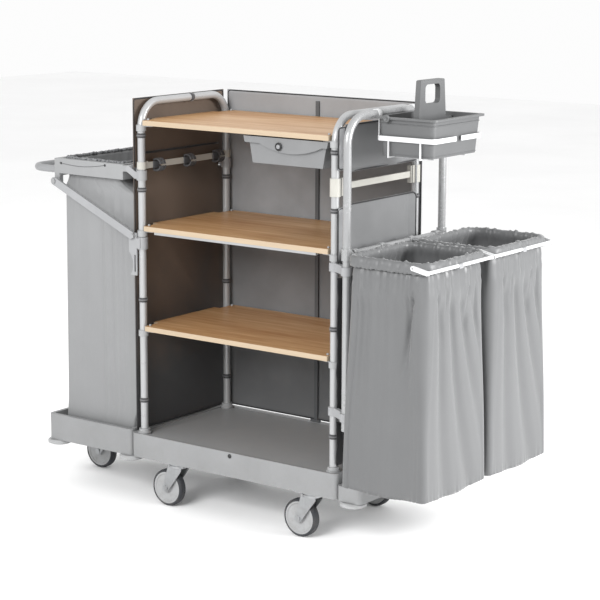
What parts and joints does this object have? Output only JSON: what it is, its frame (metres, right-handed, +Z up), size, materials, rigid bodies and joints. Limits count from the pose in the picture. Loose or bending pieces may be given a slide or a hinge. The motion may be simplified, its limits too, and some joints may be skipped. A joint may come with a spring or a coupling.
{
  "type": "housekeeping cart",
  "caption": "Hotel housekeeping cart: shelf bay between tube hoops, folding linen bag frame, two waste bags, caddy and drawer on a castor base.",
  "frame": {"origin": "on the floor at the centre of the cart's footprint", "axes": "+X along the cart towards the two waste bags, -Y is the open front of the shelf bay, +Z up"},
  "size_m": [1.753, 0.732, 1.456],
  "materials": {
    "base_plastic": "fine moulded texture, satin",
    "foot_plastic": "smooth satin",
    "zinc": "bright zinc plated",
    "roller_plastic": "smooth satin",
    "wheel_plastic": "moulded satin",
    "tyre_rubber": "matt rubber",
    "frame_tube": "light grey powder coat",
    "bright_tube": "silver-white coat",
    "bracket_grey": "grey powder coat",
    "cream_bar": "satin anodised",
    "beech": "beech veneer, satin lacquer, pale edge band",
    "runner_grey": "satin",
    "drawer_plastic": "satin moulded",
    "clip_rubber": "matt",
    "strap_textile": "woven strap",
    "dark_fabric": "coated polyester, matt",
    "panel_fabric": "coated polyester, matt",
    "batten_dark": "matt",
    "frame_plastic": "satin moulded",
    "handle_paint": "grey powder coat",
    "bag_fabric": "coated polyester, soft sheen",
    "white_gloss": "white epoxy coat",
    "caddy_plastic": "satin moulded"
  },
  "bodies": {
    "frame": {"deck_tray": "base_plastic", "linen_platform": "base_plastic", "bag_rail": "base_plastic", "post_feet": "foot_plastic", "roller_pins": "zinc", "castor_plates": "zinc", "left_hoop": "frame_tube", "right_hoop": "frame_tube", "outer_hoop": "bright_tube", "hoop_links": "bracket_grey", "right_crossbar": "cream_bar", "shelf_low": "beech", "shelf_mid": "beech", "shelf_top": "beech", "shelf_supports": "foot_plastic", "drawer_runners": "runner_grey", "clip_rail": "cream_bar", "tool_clips": "clip_rubber", "strap_bands": "strap_textile", "left_panel": "dark_fabric", "back_panel": "panel_fabric", "right_panel": "panel_fabric", "back_batten": "batten_dark", "linen_brackets": "bracket_grey", "linen_bag": "bag_fabric", "bag_carrier": "bright_tube", "ring_front": "bright_tube", "ring_back": "bright_tube", "bag_front": "bag_fabric", "bag_back": "bag_fabric", "caddy_holder": "white_gloss"},
    "castor_front_left": {"fork_front_left": "zinc"},
    "wheel_front_left": {"hub_front_left": "wheel_plastic", "tyre_front_left": "tyre_rubber"},
    "castor_front_right": {"fork_front_right": "zinc"},
    "wheel_front_right": {"hub_front_right": "wheel_plastic", "tyre_front_right": "tyre_rubber"},
    "castor_back_left": {"fork_back_left": "zinc"},
    "wheel_back_left": {"hub_back_left": "wheel_plastic", "tyre_back_left": "tyre_rubber"},
    "castor_back_right": {"fork_back_right": "zinc"},
    "wheel_back_right": {"hub_back_right": "wheel_plastic", "tyre_back_right": "tyre_rubber"},
    "castor_end": {"fork_end": "zinc"},
    "wheel_end": {"hub_end": "wheel_plastic", "tyre_end": "tyre_rubber"},
    "roller_front_left": {"roller_front_left": "roller_plastic"},
    "roller_front_seam": {"roller_front_seam": "roller_plastic"},
    "roller_front_right": {"roller_front_right": "roller_plastic"},
    "roller_back_left": {"roller_back_left": "roller_plastic"},
    "roller_back_seam": {"roller_back_seam": "roller_plastic"},
    "roller_back_right": {"roller_back_right": "roller_plastic"},
    "drawer": {"drawer_tub": "drawer_plastic"},
    "lock": {"drawer_lock": "drawer_plastic"},
    "linen_frame": {"linen_frame": "frame_plastic", "push_handle": "handle_paint"},
    "struts": {"linen_struts": "bracket_grey"},
    "clamp_front": {"clamp_front": "white_gloss"},
    "clamp_back": {"clamp_back": "white_gloss"},
    "caddy": {"caddy": "caddy_plastic"}
  },
  "joints": [
    {"name": "swivel_front_left", "type": "hinge", "parent": "frame", "child": "castor_front_left", "pos_m": [-0.1985, -0.2075, 0.158], "axis": [0, 0, 1], "continuous": true},
    {"name": "roll_front_left", "type": "hinge", "parent": "castor_front_left", "child": "wheel_front_left", "pos_m": [-0.2405, -0.2075, 0.0625], "axis": [0, 1, 0], "continuous": true},
    {"name": "swivel_front_right", "type": "hinge", "parent": "frame", "child": "castor_front_right", "pos_m": [0.3535, -0.2075, 0.158], "axis": [0, 0, 1], "continuous": true},
    {"name": "roll_front_right", "type": "hinge", "parent": "castor_front_right", "child": "wheel_front_right", "pos_m": [0.3115, -0.2075, 0.0625], "axis": [0, 1, 0], "continuous": true},
    {"name": "swivel_back_left", "type": "hinge", "parent": "frame", "child": "castor_back_left", "pos_m": [-0.1985, 0.2075, 0.158], "axis": [0, 0, 1], "continuous": true},
    {"name": "roll_back_left", "type": "hinge", "parent": "castor_back_left", "child": "wheel_back_left", "pos_m": [-0.2405, 0.2075, 0.0625], "axis": [0, 1, 0], "continuous": true},
    {"name": "swivel_back_right", "type": "hinge", "parent": "frame", "child": "castor_back_right", "pos_m": [0.3535, 0.2075, 0.158], "axis": [0, 0, 1], "continuous": true},
    {"name": "roll_back_right", "type": "hinge", "parent": "castor_back_right", "child": "wheel_back_right", "pos_m": [0.3115, 0.2075, 0.0625], "axis": [0, 1, 0], "continuous": true},
    {"name": "swivel_end", "type": "hinge", "parent": "frame", "child": "castor_end", "pos_m": [-0.6925, 0, 0.158], "axis": [0, 0, 1], "continuous": true},
    {"name": "roll_end", "type": "hinge", "parent": "castor_end", "child": "wheel_end", "pos_m": [-0.7345, 0, 0.0625], "axis": [0, 1, 0], "continuous": true},
    {"name": "bumper_front_left", "type": "hinge", "parent": "frame", "child": "roller_front_left", "pos_m": [-0.7225, -0.2245, 0.15], "axis": [0, 0, 1], "continuous": true},
    {"name": "bumper_front_seam", "type": "hinge", "parent": "frame", "child": "roller_front_seam", "pos_m": [-0.3905, -0.2245, 0.15], "axis": [0, 0, 1], "continuous": true},
    {"name": "bumper_front_right", "type": "hinge", "parent": "frame", "child": "roller_front_right", "pos_m": [0.5225, -0.2245, 0.15], "axis": [0, 0, 1], "continuous": true},
    {"name": "bumper_back_left", "type": "hinge", "parent": "frame", "child": "roller_back_left", "pos_m": [-0.7225, 0.2245, 0.15], "axis": [0, 0, 1], "continuous": true},
    {"name": "bumper_back_seam", "type": "hinge", "parent": "frame", "child": "roller_back_seam", "pos_m": [-0.3905, 0.2245, 0.15], "axis": [0, 0, 1], "continuous": true},
    {"name": "bumper_back_right", "type": "hinge", "parent": "frame", "child": "roller_back_right", "pos_m": [0.5225, 0.2245, 0.15], "axis": [0, 0, 1], "continuous": true},
    {"name": "drawer_slide", "type": "slide", "parent": "frame", "child": "drawer", "axis": [0, -1, 0], "range_m": [0, 0.3]},
    {"name": "lock_turn", "type": "hinge", "parent": "drawer", "child": "lock", "pos_m": [0.23496, -0.2165, 1.241], "axis": [0, -1, 0], "range_deg": [0, 90]},
    {"name": "linen_fold", "type": "hinge", "parent": "frame", "child": "linen_frame", "pos_m": [-0.3795, 0, 1.125], "axis": [0, 1, 0], "range_deg": [0, 90]},
    {"name": "strut_swing", "type": "hinge", "parent": "linen_frame", "child": "struts", "pos_m": [-0.7045, 0, 1.061], "axis": [0, -1, 0], "range_deg": [0, 24]},
    {"name": "clamp_flip_front", "type": "hinge", "parent": "frame", "child": "clamp_front", "pos_m": [0.8205, -0.185, 0.942], "axis": [0, -1, 0], "range_deg": [0, 100]},
    {"name": "clamp_flip_back", "type": "hinge", "parent": "frame", "child": "clamp_back", "pos_m": [0.8205, 0.185, 0.942], "axis": [0, -1, 0], "range_deg": [0, 100]},
    {"name": "caddy_lift", "type": "slide", "parent": "frame", "child": "caddy", "axis": [0, 0, 1], "range_m": [0, 0.25]}
  ],
  "couplings": [
    {"joint": "strut_swing", "follows": "linen_fold", "ratio": 0.26489}
  ]
}
